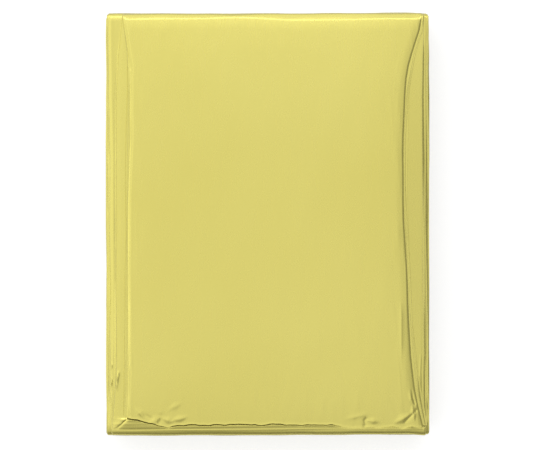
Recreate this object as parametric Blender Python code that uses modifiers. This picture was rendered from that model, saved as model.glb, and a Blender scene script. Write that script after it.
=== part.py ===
"""Emergency foil blanket, pleated and folded flat into its hand-sized block.

The sheet is one rectangle of metallised film. Its long side is pleated into a band of
pressed plies, and the band is then laid back and forth into a block of layers. Each layer
below is one such band: its plies lie pressed together, so it is drawn as one thickness.

Metres. X runs across the band, Y along it, Z up through the block. The origin lies under
the middle of the block, on the surface that it rests on.
"""

import math
from typing import NamedTuple

import bmesh
import bpy
from mathutils import Vector

MM = 0.001

# The sheet as it was cut, and how often each side is folded.
CUT_LENGTH = 2130 * MM
CUT_WIDTH = 1370 * MM
PLIES_IN_BAND = 24
LAYERS_IN_BLOCK = 12

# The block that those folds give.
BLOCK_WIDTH = CUT_LENGTH / PLIES_IN_BAND
BLOCK_LENGTH = CUT_WIDTH / LAYERS_IN_BLOCK
BAND_THICKNESS = 1.0 * MM
GAP_AT_FOLD = 0.31 * MM
GAP_AT_MOUTH = 0.45 * MM
CROWN = 0.5 * MM

# How finely the folded sheet is divided.
COLUMNS = 10
ROWS_ON_LAYER = 8
ROWS_ON_FOLD = 6

# The softened edge of a band, and the small waves along its sides.
EDGE_BEVEL = 0.24 * MM
SIDE_WAVE = 0.22 * MM
SIDE_WAVE_LENGTH = 41 * MM

FOIL_GOLD = (0.665, 0.591, 0.156, 1.0)
FOIL_ROUGHNESS = 0.34


class Layer(NamedTuple):
    """How far one layer stays inside the block's outline, in millimetres.

    The front is at -Y and the back at +Y. end is the inset of the fold that the layer
    runs up to, back and front in turn, and air is the extra gap below the layer.
    """

    left_front: float
    left_back: float
    right_front: float
    right_back: float
    end: float
    air: float


# From the lowest layer to the top one, which ends at its own front edge.
LAYERS = (
    Layer(left_front=0.6, left_back=0.3, right_front=0.5, right_back=0.9, end=0.5, air=0.0),
    Layer(left_front=0.2, left_back=0.7, right_front=0.9, right_back=0.3, end=0.6, air=0.0),
    Layer(left_front=0.9, left_back=0.2, right_front=0.2, right_back=0.7, end=1.0, air=0.1),
    Layer(left_front=0.1, left_back=0.6, right_front=0.8, right_back=0.2, end=0.0, air=0.0),
    Layer(left_front=0.6, left_back=1.0, right_front=0.1, right_back=0.5, end=0.0, air=0.2),
    Layer(left_front=1.1, left_back=0.3, right_front=0.5, right_back=1.0, end=0.8, air=0.0),
    Layer(left_front=0.3, left_back=0.7, right_front=0.9, right_back=0.3, end=0.6, air=0.0),
    Layer(left_front=0.8, left_back=0.4, right_front=0.6, right_back=1.1, end=0.3, air=0.15),
    Layer(left_front=1.2, left_back=1.0, right_front=1.2, right_back=0.8, end=0.2, air=0.0),
    Layer(left_front=2.3, left_back=1.9, right_front=1.8, right_back=2.1, end=0.5, air=0.1),
    Layer(left_front=4.0, left_back=3.7, right_front=2.7, right_back=3.4, end=0.9, air=0.0),
    Layer(left_front=6.4, left_back=6.8, right_front=4.3, right_back=6.3, end=4.4, air=0.05),
)

LOWEST_FREE_END = 1.6 * MM


class EdgePoint(NamedTuple):
    """A point of the top layer's free front edge, in millimetres."""

    across: float
    inset: float


FRONT_EDGE = (
    EdgePoint(across=-37.5, inset=6.4),
    EdgePoint(across=-32.5, inset=6.2),
    EdgePoint(across=-29.5, inset=3.8),
    EdgePoint(across=-23.0, inset=4.7),
    EdgePoint(across=6.0, inset=4.8),
    EdgePoint(across=19.0, inset=4.3),
    EdgePoint(across=27.0, inset=3.4),
    EdgePoint(across=38.5, inset=2.7),
)


def mix(first: float, second: float, share: float) -> float:
    """The value a share of the way from the first to the second."""
    return first + (second - first) * share


def smooth(share: float) -> float:
    """A share from 0 to 1, eased at both ends."""
    return share * share * (3 - 2 * share)


def side_wave(layer: int, along: float) -> float:
    """The small wave of a layer's side at one place along the block."""
    turn = along / SIDE_WAVE_LENGTH * math.tau
    return SIDE_WAVE * math.sin(turn + 2.3 * layer)


def sides(layer: int, along: float) -> tuple:
    """The left and right ends of one layer's line across, at one place along the block."""
    row = LAYERS[layer]
    share = smooth(min(max(along / BLOCK_LENGTH + 0.5, 0.0), 1.0))
    left_inset = mix(row.left_front, row.left_back, share) * MM
    right_inset = mix(row.right_front, row.right_back, share) * MM
    wave = side_wave(layer, along)
    left = -BLOCK_WIDTH / 2 + max(left_inset + wave, 0.0)
    right = BLOCK_WIDTH / 2 - max(right_inset - wave, 0.0)
    return left, right


def crown(layer: int, across: float, along: float) -> float:
    """How much the layers below lift one layer, most in the middle of the block."""
    share_across = min(abs(2 * across / BLOCK_WIDTH), 1.0)
    share_along = min(abs(2 * along / BLOCK_LENGTH), 1.0)
    dome = (1 - share_across**4) * (1 - share_along**4)
    return CROWN * dome * layer / (LAYERS_IN_BLOCK - 1)


def gap_above(layer: int, along: float) -> float:
    """The gap between a layer and the next one up: it opens away from their fold."""
    from_front = along / BLOCK_LENGTH + 0.5
    from_fold = 1 - from_front if layer % 2 == 0 else from_front
    return mix(GAP_AT_FOLD, GAP_AT_MOUTH, from_fold) + LAYERS[layer + 1].air * MM


def middle_height(layer: int, across: float, along: float) -> float:
    """The height of the middle of one layer's thickness."""
    height = BAND_THICKNESS / 2 + crown(layer, across, along)
    for below in range(layer):
        height += BAND_THICKNESS + gap_above(below, along)
    return height


def front_edge(across: float) -> float:
    """Where the top layer's free edge lies along the block, from its short table."""
    inset = FRONT_EDGE[0].inset
    for start, stop in zip(FRONT_EDGE, FRONT_EDGE[1:]):
        reach = across / MM - start.across
        if reach > 0:
            share = min(reach / (stop.across - start.across), 1.0)
            inset = mix(start.inset, stop.inset, smooth(share))
    return -BLOCK_LENGTH / 2 + inset * MM


def fold_centre(layer: int) -> float:
    """Where the fold above one layer has its centre along the block."""
    gap = GAP_AT_FOLD + LAYERS[layer + 1].air * MM
    outer_radius = BAND_THICKNESS + gap / 2
    reach = BLOCK_LENGTH / 2 - LAYERS[layer].end * MM - outer_radius
    return reach if layer % 2 == 0 else -reach


def layer_span(layer: int, across: float) -> tuple:
    """The places along the block where one layer starts and stops."""
    if layer == 0:
        start = -BLOCK_LENGTH / 2 + LOWEST_FREE_END
    else:
        start = fold_centre(layer - 1)
    if layer == LAYERS_IN_BLOCK - 1:
        return start, front_edge(across)
    return start, fold_centre(layer)


def line_across(layer: int, share: float) -> list:
    """The points of one line across a layer, a share of the way along it."""
    points = []
    for column in range(COLUMNS + 1):
        place = column / COLUMNS
        start, stop = layer_span(layer, 0.0)
        left, right = sides(layer, mix(start, stop, share))
        across = mix(left, right, place)
        start, stop = layer_span(layer, across)
        along = mix(start, stop, share)
        points.append(Vector((across, along, middle_height(layer, across, along))))
    return points


def line_on_fold(layer: int, share: float) -> list:
    """The points of one line across the fold from a layer to the next one up."""
    below = line_across(layer, 1.0)
    above = line_across(layer + 1, 0.0)
    outward = 1 if layer % 2 == 0 else -1
    turn = math.pi * (share - 0.5)
    points = []
    for low, high in zip(below, above):
        radius = (high.z - low.z) / 2
        centre = (low + high) / 2
        across = mix(low.x, high.x, smooth(share))
        along = centre.y + outward * radius * math.cos(turn)
        points.append(Vector((across, along, centre.z + radius * math.sin(turn))))
    return points


def sheet_lines() -> list:
    """Every line across the sheet in order, from its lowest end to its top free edge."""
    lines = []
    for layer in range(LAYERS_IN_BLOCK):
        for row in range(ROWS_ON_LAYER + 1):
            lines.append(line_across(layer, row / ROWS_ON_LAYER))
        if layer < LAYERS_IN_BLOCK - 1:
            for row in range(1, ROWS_ON_FOLD):
                lines.append(line_on_fold(layer, row / ROWS_ON_FOLD))
    return lines


def foil_material() -> bpy.types.Material:
    """Gold metallised film with a soft sheen."""
    material = bpy.data.materials.new("gold_foil")
    material.use_nodes = True
    shader = material.node_tree.nodes["Principled BSDF"]
    shader.inputs["Base Color"].default_value = FOIL_GOLD
    shader.inputs["Metallic"].default_value = 1.0
    shader.inputs["Roughness"].default_value = FOIL_ROUGHNESS
    material.diffuse_color = FOIL_GOLD
    return material


def foil_sheet(collection: bpy.types.Collection) -> bpy.types.Object:
    """The folded sheet: its middle surface, given its thickness and softened edges."""
    lines = sheet_lines()
    points = [point for line in lines for point in line]
    surface = bmesh.new()
    grid = bmesh.ops.create_grid(surface, x_segments=COLUMNS, y_segments=len(lines) - 1)
    for vertex, point in zip(grid["verts"], points):
        vertex.co = point
    mesh = bpy.data.meshes.new("foil_sheet")
    surface.to_mesh(mesh)
    surface.free()
    mesh.shade_smooth()
    mesh.materials.append(foil_material())
    sheet = bpy.data.objects.new("foil_sheet", mesh)
    collection.objects.link(sheet)

    thickness = sheet.modifiers.new("band_thickness", "SOLIDIFY")
    thickness.thickness = BAND_THICKNESS
    thickness.offset = 0.0
    thickness.use_even_offset = True

    softening = sheet.modifiers.new("edge_softening", "BEVEL")
    softening.width = EDGE_BEVEL
    softening.segments = 1
    softening.limit_method = "ANGLE"
    softening.angle_limit = math.radians(60)
    return sheet


def main() -> None:
    """Clears the scene and builds the folded blanket."""
    for old in list(bpy.data.objects):
        bpy.data.objects.remove(old, do_unlink=True)
    collection = bpy.data.collections.new("emergency_foil_blanket")
    bpy.context.scene.collection.children.link(collection)
    foil_sheet(collection)


main()
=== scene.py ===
"""Emergency foil blanket, folded: its sheet with every pleat and layer, and the finish of its film.

The sheet is one rectangle of metallised film, gold on one face and silver on the other. It is
folded in half with the gold outside, the doubled sheet is pleated into a band, and the band is
laid back and forth into the block. Metres: X runs across the band, Y along it and Z up.
"""

import logging
import math
from dataclasses import dataclass
from enum import Enum
from typing import NamedTuple

import bmesh
import bpy
import numpy as np
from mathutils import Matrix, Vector


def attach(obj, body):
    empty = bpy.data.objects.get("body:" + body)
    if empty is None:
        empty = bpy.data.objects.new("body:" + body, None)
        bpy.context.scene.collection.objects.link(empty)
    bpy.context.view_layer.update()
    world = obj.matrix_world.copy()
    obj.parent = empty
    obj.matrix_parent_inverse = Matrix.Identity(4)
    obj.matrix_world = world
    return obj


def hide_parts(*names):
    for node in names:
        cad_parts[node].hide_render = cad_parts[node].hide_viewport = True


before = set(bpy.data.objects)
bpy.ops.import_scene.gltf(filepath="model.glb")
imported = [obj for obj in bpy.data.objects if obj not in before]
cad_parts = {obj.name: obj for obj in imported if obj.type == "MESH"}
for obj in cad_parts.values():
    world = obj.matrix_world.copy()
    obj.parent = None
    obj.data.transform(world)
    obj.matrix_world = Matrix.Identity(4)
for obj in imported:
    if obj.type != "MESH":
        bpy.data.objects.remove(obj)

LOG = logging.getLogger("foil blanket")
MM = 0.001
SLIP = 1e-6
SOLID = "foil_sheet"
BODY = "root"

Colour = tuple[float, float, float]


class FilmFace(Enum):
    """The two faces of the film, by their material's place on the piece."""

    GOLD = 0
    SILVER = 1


class Margin(Enum):
    """The two long sides of the band, by the first seed of the drifts of their folds."""

    LEFT = 400
    RIGHT = 500


class Number:
    """A number in a node tree, so that a sum on it is written as a Python expression."""

    def __init__(self, graph: "Graph", socket: bpy.types.NodeSocket) -> None:
        """Wraps a socket that gives a number."""
        self.graph = graph
        self.socket = socket

    def __add__(self, other: "Number | float") -> "Number":
        """This number plus another."""
        return self.graph.maths("ADD", self, other)

    def __sub__(self, other: "Number | float") -> "Number":
        """This number less another."""
        return self.graph.maths("SUBTRACT", self, other)

    def __rsub__(self, other: "Number | float") -> "Number":
        """Another number less this one."""
        return self.graph.maths("SUBTRACT", other, self)

    def __mul__(self, other: "Number | float") -> "Number":
        """This number times another."""
        return self.graph.maths("MULTIPLY", self, other)

    def __truediv__(self, other: "Number | float") -> "Number":
        """This number over another."""
        return self.graph.maths("DIVIDE", self, other)

    def __rtruediv__(self, other: "Number | float") -> "Number":
        """Another number over this one."""
        return self.graph.maths("DIVIDE", other, self)

    def __pow__(self, other: "Number | float") -> "Number":
        """This number to a power."""
        return self.graph.maths("POWER", self, other)

    def __neg__(self) -> "Number":
        """This number with its sign turned."""
        return self.graph.maths("MULTIPLY", self, -1.0)

    def __abs__(self) -> "Number":
        """This number without its sign."""
        return self.graph.maths("ABSOLUTE", self)

    __radd__ = __add__
    __rmul__ = __mul__

    def floor(self) -> "Number":
        """The whole number at or below this one."""
        return self.graph.maths("FLOOR", self)

    def sign(self) -> "Number":
        """-1, 0 or 1."""
        return self.graph.maths("SIGN", self)

    def sin(self) -> "Number":
        """The sine of this angle."""
        return self.graph.maths("SINE", self)

    def cos(self) -> "Number":
        """The cosine of this angle."""
        return self.graph.maths("COSINE", self)

    def within(self, low: "Number | float", high: "Number | float") -> "Number":
        """This number, held between two others."""
        return self.graph.maths("MAXIMUM", self.graph.maths("MINIMUM", self, high), low)

    def odd(self) -> "Number":
        """1 where this whole number is odd, 0 where it is even."""
        return self.graph.maths("MODULO", self, 2.0)

    def __lt__(self, other: "Number | float") -> "Number":
        """1 where this number is below another, and 0 elsewhere."""
        return self.graph.maths("LESS_THAN", self, other)

    def __gt__(self, other: "Number | float") -> "Number":
        """1 where this number is above another, and 0 elsewhere."""
        return self.graph.maths("GREATER_THAN", self, other)


class Graph:
    """A node tree, of any kind, that nodes and sums are added to."""

    def __init__(self, tree: bpy.types.NodeTree) -> None:
        """Wraps the tree."""
        self.tree = tree

    def add(
        self,
        kind: str,
        settings: dict[str, object] | None = None,
        inputs: dict[str | int, object] | None = None,
    ) -> bpy.types.Node:
        """Adds a node.

        Args:
            kind: The node's type, as Blender names it.
            settings: What is set on the node itself, before its sockets.
            inputs: A value, a Number or a socket for each socket, by its name or its place.

        Returns:
            The new node.
        """
        node = self.tree.nodes.new(kind)
        for name, value in (settings or {}).items():
            setattr(node, name, value)
        for name, value in (inputs or {}).items():
            self.put(node.inputs[name], value)
        return node

    def put(self, socket: bpy.types.NodeSocket, value: object) -> None:
        """Links a socket, or sets its value.

        Args:
            socket: The socket, an input of a node.
            value: A Number or another node's socket to link it to, or the value to set.
        """
        if isinstance(value, Number):
            self.tree.links.new(value.socket, socket)
        elif isinstance(value, bpy.types.NodeSocket):
            self.tree.links.new(value, socket)
        else:
            socket.default_value = value

    def maths(self, operation: str, *values: "Number | float") -> Number:
        """Adds a Math node on one, two or three numbers."""
        node = self.add("ShaderNodeMath", {"operation": operation}, dict(enumerate(values)))
        return Number(self, node.outputs[0])

    def number(self, node: bpy.types.Node, output: str | int) -> Number:
        """A node's output as a number."""
        return Number(self, node.outputs[output])

    def noise(self, place: bpy.types.NodeSocket, scale: float, detail: float) -> Number:
        """Adds a Noise Texture node, as a number from 0 to 1."""
        node = self.add("ShaderNodeTexNoise", None, {"Vector": place, "Scale": scale, "Detail": detail})
        return self.number(node, "Fac")


def new_material(name: str) -> tuple[bpy.types.Material, Graph]:
    """Starts a material.

    Args:
        name: The finish's name.

    Returns:
        The material, with no nodes yet, and the graph that they are added to.
    """
    material = bpy.data.materials.new(name)
    material.use_nodes = True
    material.node_tree.nodes.clear()
    return material, Graph(material.node_tree)


class Drift:
    """A smooth wandering value, the sum of a few waves, the same in every run.

    Each wave is shorter than the last and counts for less, by the shrink and by the fade.
    """

    shrink: float = 0.66
    fade: float = 0.75

    def __init__(self, seed: int, longest: float, waves: int = 4) -> None:
        """Draws the waves.

        Args:
            seed: Which of the possible drifts this is.
            longest: The longest wave, in metres.
            waves: How many waves are summed.
        """
        draw = np.random.default_rng(seed)
        lengths = longest * self.shrink ** np.arange(waves)
        bearings = draw.uniform(0, math.pi, waves)
        self.turns = 2 * math.pi / lengths
        self.across = np.cos(bearings)
        self.along = np.sin(bearings)
        self.phases = draw.uniform(0, 2 * math.pi, waves)
        self.shares = self.fade ** np.arange(waves)
        self.shares /= np.sqrt((self.shares**2).sum() / 2)

    def line(self, place: np.ndarray) -> np.ndarray:
        """The drift along a line, about -2 to 2 and most often within 1 of nought."""
        angle = place[:, None] * self.turns + self.phases
        return np.sin(angle) @ self.shares

    def field(self, x: np.ndarray, y: np.ndarray) -> np.ndarray:
        """The drift over a plane, about -2 to 2 and most often within 1 of nought."""
        way = x[:, None] * self.across + y[:, None] * self.along
        return np.sin(way * self.turns + self.phases) @ self.shares


def eased(share: np.ndarray) -> np.ndarray:
    """A share held between 0 and 1 and eased at both ends."""
    held = np.clip(share, 0, 1)
    return held * held * (3 - 2 * held)


def rounded(share: np.ndarray) -> np.ndarray:
    """A share held between 0 and 1, steep at 0 and flat at 1 like the shoulder of a pillow."""
    return np.sin(np.clip(share, 0, 1) * (math.pi / 2))


def points_of(mesh: bpy.types.Mesh) -> np.ndarray:
    """A mesh's points.

    Args:
        mesh: The mesh.

    Returns:
        Their places, a row for each.
    """
    points = np.empty(len(mesh.vertices) * 3, np.float32)
    mesh.vertices.foreach_get("co", points)
    return points.reshape(-1, 3).astype(float)


def cut_of(mesh: bpy.types.Mesh) -> np.ndarray:
    """Where a mesh's points lie on the flat sheet.

    Args:
        mesh: A mesh made from the cut sheet.

    Returns:
        Their places along the sheet's length and its width, a row for each.
    """
    places = np.empty(len(mesh.vertices) * 3, np.float32)
    mesh.attributes["cut"].data.foreach_get("vector", places)
    return places.reshape(-1, 3)[:, :2].astype(float)


def move_points(mesh: bpy.types.Mesh, points: np.ndarray) -> None:
    """Gives a mesh's points new places."""
    mesh.vertices.foreach_set("co", points.astype(np.float32).ravel())
    mesh.update()


def evaluated_mesh(work: bpy.types.Object) -> bpy.types.Mesh:
    """Makes a plain mesh of an object as its modifiers leave it, and removes the object.

    Args:
        work: The object, with its modifiers live.

    Returns:
        A new mesh, which keeps the attributes.
    """
    bpy.context.view_layer.update()
    graph = bpy.context.evaluated_depsgraph_get()
    shaped = work.evaluated_get(graph)
    mesh = bpy.data.meshes.new_from_object(shaped, preserve_all_data_layers=True, depsgraph=graph)
    work.modifiers.clear()
    bpy.data.objects.remove(work)
    return mesh


class LayerLie(NamedTuple):
    """How one layer of the band lies in the block, bottom layer first. Millimetres.

    The insets are from the block's own sides, at the layer's front and back ends. The turn is
    the inset of the fold that joins the layer to the next one up, and the top one has none.
    The air is what lies under the layer beyond the ordinary gap, and the spread is how much
    further out the layer's lowest pleats reach than its highest.
    """

    left_front: float
    left_back: float
    right_front: float
    right_back: float
    turn: float
    air: float
    spread: float

    def insets(self, margin: Margin) -> tuple[float, float]:
        """How far in the layer lies along one side of the block.

        Args:
            margin: Which side.

        Returns:
            Its insets at its front and at its back.
        """
        if margin is Margin.LEFT:
            return self.left_front, self.left_back
        return self.right_front, self.right_back


LAYERS = (
    LayerLie(0.6, 0.3, 0.5, 0.9, 0.5, 0.0, 0.1),
    LayerLie(0.2, 0.7, 0.9, 0.3, 0.6, 0.0, 0.1),
    LayerLie(0.9, 0.2, 0.2, 0.7, 1.0, 0.1, 0.1),
    LayerLie(0.1, 0.6, 0.8, 0.2, 0.0, 0.0, 0.1),
    LayerLie(0.6, 1.0, 0.1, 0.5, 0.0, 0.2, 0.1),
    LayerLie(1.1, 0.3, 0.5, 1.0, 0.8, 0.0, 0.1),
    LayerLie(0.3, 0.7, 0.9, 0.3, 0.6, 0.0, 0.1),
    LayerLie(0.8, 0.4, 0.6, 1.1, 0.3, 0.15, 0.2),
    LayerLie(0.9, 0.8, 0.8, 0.7, 0.2, 0.0, 0.4),
    LayerLie(1.9, 1.5, 1.4, 1.5, 0.5, 0.1, 0.6),
    LayerLie(3.5, 3.9, 2.5, 2.7, 0.6, 0.0, 0.8),
    LayerLie(6.45, 7.65, 2.7, 2.7, 0.0, 0.05, 1.0),
)


class EdgePoint(NamedTuple):
    """A place along an edge of the top layer, and how far in the edge lies there. Millimetres."""

    place: float
    inset: float


FRONT_EDGE = (
    EdgePoint(-37.5, 5.1),
    EdgePoint(-36.0, 4.8),
    EdgePoint(-34.0, 4.35),
    EdgePoint(-31.9, 3.85),
    EdgePoint(-29.5, 3.05),
    EdgePoint(-26.6, 2.75),
    EdgePoint(-25.4, 3.2),
    EdgePoint(-23.7, 3.05),
    EdgePoint(-20.4, 3.25),
    EdgePoint(-17.6, 3.35),
    EdgePoint(-5.0, 3.45),
    EdgePoint(14.0, 3.3),
    EdgePoint(19.5, 3.05),
    EdgePoint(22.4, 2.45),
    EdgePoint(26.0, 2.35),
    EdgePoint(31.0, 2.65),
    EdgePoint(33.9, 2.8),
    EdgePoint(36.3, 2.3),
    EdgePoint(39.0, 2.65),
    EdgePoint(42.3, 2.3),
)

RIGHT_EDGE = (
    EdgePoint(-57.1, 2.3),
    EdgePoint(-51.0, 3.6),
    EdgePoint(-47.0, 4.3),
    EdgePoint(-43.4, 4.75),
    EdgePoint(-38.0, 5.45),
    EdgePoint(-32.0, 5.95),
    EdgePoint(-23.5, 6.45),
    EdgePoint(-12.0, 7.0),
    EdgePoint(0.0, 7.5),
    EdgePoint(10.9, 7.85),
    EdgePoint(19.5, 7.95),
    EdgePoint(28.1, 7.45),
    EdgePoint(36.7, 7.1),
    EdgePoint(41.0, 6.6),
    EdgePoint(43.1, 6.05),
    EdgePoint(45.3, 5.5),
    EdgePoint(47.4, 4.85),
    EdgePoint(49.6, 4.2),
    EdgePoint(52.5, 3.3),
    EdgePoint(57.1, 2.7),
)


class Crease(NamedTuple):
    """A soft ridge, or a trough where the rise is below nought, in the film that shows.

    Millimetres and degrees: its middle, its length and bearing from X, how far it rises and
    how wide its flank is.
    """

    across: float
    along: float
    length: float
    bearing: float
    rise: float
    flank: float


TOP_CREASES = (
    Crease(-36.9, -8.0, 84.0, 90.4, 0.05, 0.50),
    Crease(-37.0, -46.5, 14.0, 96.0, 0.08, 0.35),
    Crease(35.9, -29.0, 17.0, 90.0, 0.12, 0.50),
    Crease(30.6, -29.5, 8.0, 92.0, 0.06, 0.60),
    Crease(37.2, -8.0, 60.0, 90.6, 0.05, 0.60),
    Crease(-28.7, -52.2, 3.2, 84.0, -0.26, 0.22),
    Crease(-31.6, -51.9, 4.4, 152.0, -0.12, 0.30),
    Crease(26.3, -53.4, 3.6, 88.0, -0.28, 0.24),
    Crease(24.0, -51.6, 7.0, 14.0, 0.10, 0.35),
    Crease(39.3, -47.2, 3.2, 112.0, -0.20, 0.20),
    Crease(38.6, -51.4, 6.0, 44.0, -0.26, 0.26),
)

MARGIN_CREASES = (
    Crease(-39.4, -8.0, 80.0, 90.3, -0.12, 0.16),
    Crease(-39.7, -54.2, 8.6, 42.5, -0.34, 0.22),
    Crease(-42.5, -38.45, 4.8, 39.3, 0.32, 0.30),
    Crease(-41.8, -42.8, 5.4, 78.3, -0.46, 0.26),
    Crease(-40.5, -42.2, 6.4, 80.5, 0.30, 0.30),
    Crease(40.4, -22.0, 60.0, 90.8, -0.10, 0.20),
    Crease(41.3, -41.0, 14.0, 88.0, 0.12, 0.22),
    Crease(41.2, -52.4, 3.4, 45.0, -0.36, 0.22),
    Crease(41.5, -50.8, 3.2, 15.0, -0.24, 0.22),
    Crease(42.6, -55.0, 4.4, 128.0, 0.28, 0.22),
    Crease(-8.0, -55.3, 60.0, 0.4, 0.08, 0.22),
    Crease(20.0, -55.9, 36.0, 179.4, -0.12, 0.18),
)


class Pucker(NamedTuple):
    """A small four-sided peak, or a pit where the rise is below nought, in crumpled film.

    Millimetres and degrees: its middle, its length and bearing from X, its width and rise.
    """

    across: float
    along: float
    length: float
    bearing: float
    width: float
    rise: float


TOP_PUCKERS = (
    Pucker(-30.2, -52.6, 5.0, 28.0, 2.4, 0.30),
    Pucker(-26.6, -52.6, 4.0, 160.0, 2.2, 0.26),
    Pucker(-23.6, -52.2, 5.6, 12.0, 2.2, 0.26),
    Pucker(-24.8, -48.8, 5.0, 28.0, 2.2, 0.16),
    Pucker(-34.2, -50.6, 4.6, 130.0, 2.0, 0.18),
    Pucker(28.4, -52.8, 4.4, 170.0, 1.8, 0.24),
    Pucker(36.4, -52.2, 6.4, 26.0, 2.6, 0.30),
    Pucker(39.2, -50.6, 4.5, 100.0, 2.0, 0.26),
    Pucker(38.6, -46.8, 3.6, 110.0, 1.4, 0.18),
    Pucker(-36.4, -38.0, 6.0, 96.0, 1.4, 0.12),
)

MARGIN_PUCKERS = (
    Pucker(-42.2, -43.0, 5.6, 76.0, 2.8, 0.50),
    Pucker(-41.9, -47.6, 5.0, 95.0, 1.6, 0.18),
    Pucker(42.9, -48.6, 3.6, 62.0, 1.8, 0.40),
    Pucker(42.0, -50.4, 3.4, 150.0, 1.6, 0.30),
    Pucker(41.0, -53.8, 5.0, 28.0, 2.2, 0.36),
    Pucker(42.9, -55.2, 3.4, 60.0, 1.6, 0.30),
)


def from_middle(
    mark: Crease | Pucker, x: np.ndarray, y: np.ndarray
) -> tuple[np.ndarray, np.ndarray]:
    """How far points lie from the middle of a crease or a pucker.

    Args:
        mark: The crease or the pucker.
        x: The points' places across the block.
        y: Their places along it.

    Returns:
        Their distances along the mark, and to its side.
    """
    bearing = math.radians(mark.bearing)
    dx, dy = x - mark.across * MM, y - mark.along * MM
    run = dx * math.cos(bearing) + dy * math.sin(bearing)
    off = -dx * math.sin(bearing) + dy * math.cos(bearing)
    return run, off


@dataclass(frozen=True)
class GoldFilm:
    """The gold face of the film: metal under a clear lacquer, faintly crinkled.

    Its colour runs from deep to light with a broad cloud and, for a small share, a fine grain,
    whose scale is given each way. The swing is how far the grain varies the roughness.
    """

    deep: Colour = (0.655, 0.580, 0.134)
    light: Colour = (0.720, 0.650, 0.177)
    cloud_scale: float = 22.0
    cloud_share: float = 0.9
    grain: tuple[float, float, float] = (520.0, 170.0, 520.0)
    roughness: float = 0.27
    swing: float = 0.08
    lacquer: float = 0.35
    lacquer_roughness: float = 0.12
    crinkle: float = 0.000006

    def make(self) -> bpy.types.Material:
        """Builds the material.

        Returns:
            The finished material.
        """
        material, graph = new_material("Gold film")
        place = graph.add("ShaderNodeTexCoord").outputs["Object"]
        cloud = graph.noise(place, self.cloud_scale, 2.0)
        drawn = graph.add("ShaderNodeVectorMath", {"operation": "MULTIPLY"}, {0: place, 1: self.grain})
        fine = graph.noise(drawn.outputs["Vector"], 1.0, 3.0)
        tint = cloud * self.cloud_share + fine * (1 - self.cloud_share)
        colour = graph.add(
            "ShaderNodeMix",
            {"data_type": "RGBA"},
            {"Factor": tint, 6: (*self.deep, 1.0), 7: (*self.light, 1.0)},
        )
        rough = self.roughness - self.swing / 2 + fine * self.swing
        bump = graph.add(
            "ShaderNodeBump", None, {"Height": fine, "Distance": self.crinkle, "Strength": 1.0}
        )
        shader = graph.add(
            "ShaderNodeBsdfPrincipled",
            None,
            {
                "Base Color": colour.outputs[2],
                "Metallic": 1.0,
                "Roughness": rough,
                "Coat Weight": self.lacquer,
                "Coat Roughness": self.lacquer_roughness,
                "Normal": bump.outputs["Normal"],
            },
        )
        graph.add("ShaderNodeOutputMaterial", None, {"Surface": shader.outputs["BSDF"]})
        return material


@dataclass(frozen=True)
class SilverFilm:
    """The bare metal face of the film, which is folded inwards.

    The swing is how far its grain varies the roughness.
    """

    colour: Colour = (0.86, 0.87, 0.88)
    grain: float = 420.0
    roughness: float = 0.26
    swing: float = 0.06

    def make(self) -> bpy.types.Material:
        """Builds the material.

        Returns:
            The finished material.
        """
        material, graph = new_material("Silver film")
        fine = graph.noise(graph.add("ShaderNodeTexCoord").outputs["Object"], self.grain, 2.0)
        rough = self.roughness - self.swing / 2 + fine * self.swing
        shader = graph.add(
            "ShaderNodeBsdfPrincipled",
            None,
            {"Base Color": (*self.colour, 1.0), "Metallic": 1.0, "Roughness": rough},
        )
        graph.add("ShaderNodeOutputMaterial", None, {"Surface": shader.outputs["BSDF"]})
        return material


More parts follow.
